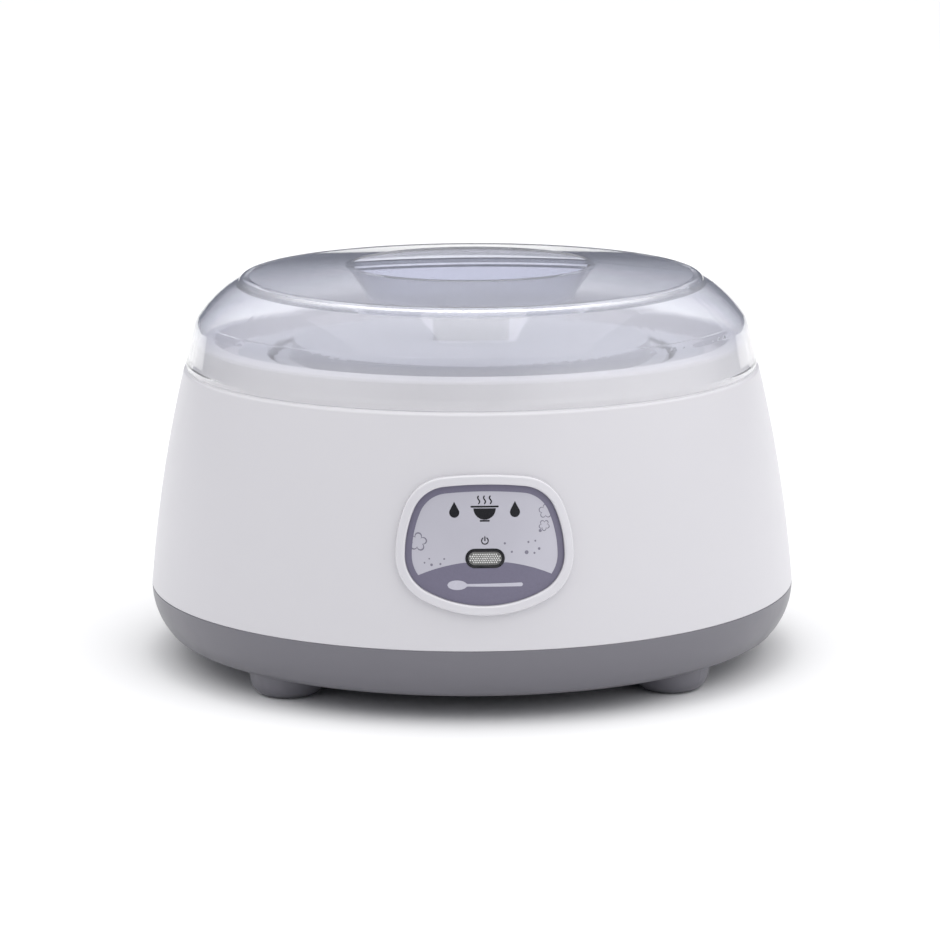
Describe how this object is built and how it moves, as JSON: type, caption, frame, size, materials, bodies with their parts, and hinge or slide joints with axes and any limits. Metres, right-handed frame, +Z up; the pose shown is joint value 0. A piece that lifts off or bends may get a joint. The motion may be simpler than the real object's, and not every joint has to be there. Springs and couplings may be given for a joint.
{
  "type": "yogurt maker",
  "caption": "Round electric yogurt maker: white casing on a grey footed tray, oval badge with a power lamp, clear lift-off lid over a lidded container in a heated well.",
  "frame": {"origin": "on the table, under the middle of the machine", "axes": "+Z up along the casing's axis, -Y out of the badge, +X to the right as seen from the front"},
  "size_m": [0.2208, 0.2215, 0.1346],
  "materials": {
    "casing_white": "smooth moulded ABS, soft gloss",
    "tray_grey": "smooth moulded ABS, satin",
    "lid_clear": "clear moulded styrene, polished",
    "well_white": "moulded polypropylene, fine matte",
    "container_white": "food-grade polypropylene, satin",
    "container_lid_white": "food-grade polypropylene, satin",
    "bush_rubber": "matte black rubber",
    "foot_rubber": "matte dark grey rubber",
    "rating_foil": "satin foil, blank",
    "plate_aluminium": "spun aluminium, satin",
    "heater_ceramic": "ceramic in polyimide film",
    "mica": "pressed mica",
    "clamp_steel": "zinc-plated sheet",
    "fuse_metal": "tinned metal can",
    "bezel_white": "smooth moulded ABS, gloss",
    "label_print": "printed metallic film, satin",
    "lens_clear": "frosted light window",
    "lamp_glass": "clear glass bulb",
    "inner_plastic": "natural nylon",
    "wire_insulation": "silicone-covered wire",
    "sleeve_plastic": "heat-shrink sleeve",
    "brass_screws": "plain brass",
    "steel_screws": "zinc-plated steel"
  },
  "bodies": {
    "base": {"badge_bezel": "bezel_white", "badge_label": "label_print", "base_tray": "tray_grey", "block_screws": "steel_screws", "clamp_screws": "steel_screws", "cord_bush": "bush_rubber", "foot_pad_front_left": "foot_rubber", "foot_pad_front_right": "foot_rubber", "foot_pad_rear_left": "foot_rubber", "foot_pad_rear_right": "foot_rubber", "fuse_clip": "clamp_steel", "heater_clamp": "clamp_steel", "heater_plate": "plate_aluminium", "heater_wires": "wire_insulation", "indicator_lamp": "lamp_glass", "indicator_lens": "lens_clear", "inner_well": "well_white", "lamp_holder": "inner_plastic", "lamp_wires": "wire_insulation", "mica_sheet": "mica", "outer_casing": "casing_white", "plate_screws": "steel_screws", "ptc_heater": "heater_ceramic", "rating_plate": "rating_foil", "resistor_sleeve": "sleeve_plastic", "terminal_block": "inner_plastic", "terminal_screws": "brass_screws", "thermal_fuse": "fuse_metal", "tray_screws": "steel_screws", "well_screws": "steel_screws"},
    "container": {"inner_container": "container_white"},
    "inner_lid": {"container_lid": "container_lid_white"},
    "outer_lid": {"lid": "lid_clear"}
  },
  "joints": [
    {"name": "container_lift", "type": "slide", "parent": "base", "child": "container", "axis": [0, 0, 1], "range_m": [0, 0.1]},
    {"name": "container_lid_lift", "type": "slide", "parent": "container", "child": "inner_lid", "axis": [0, 0, 1], "range_m": [0, 0.06]},
    {"name": "lid_lift", "type": "slide", "parent": "inner_lid", "child": "outer_lid", "axis": [0, 0, 1], "range_m": [0, 0.1]}
  ]
}
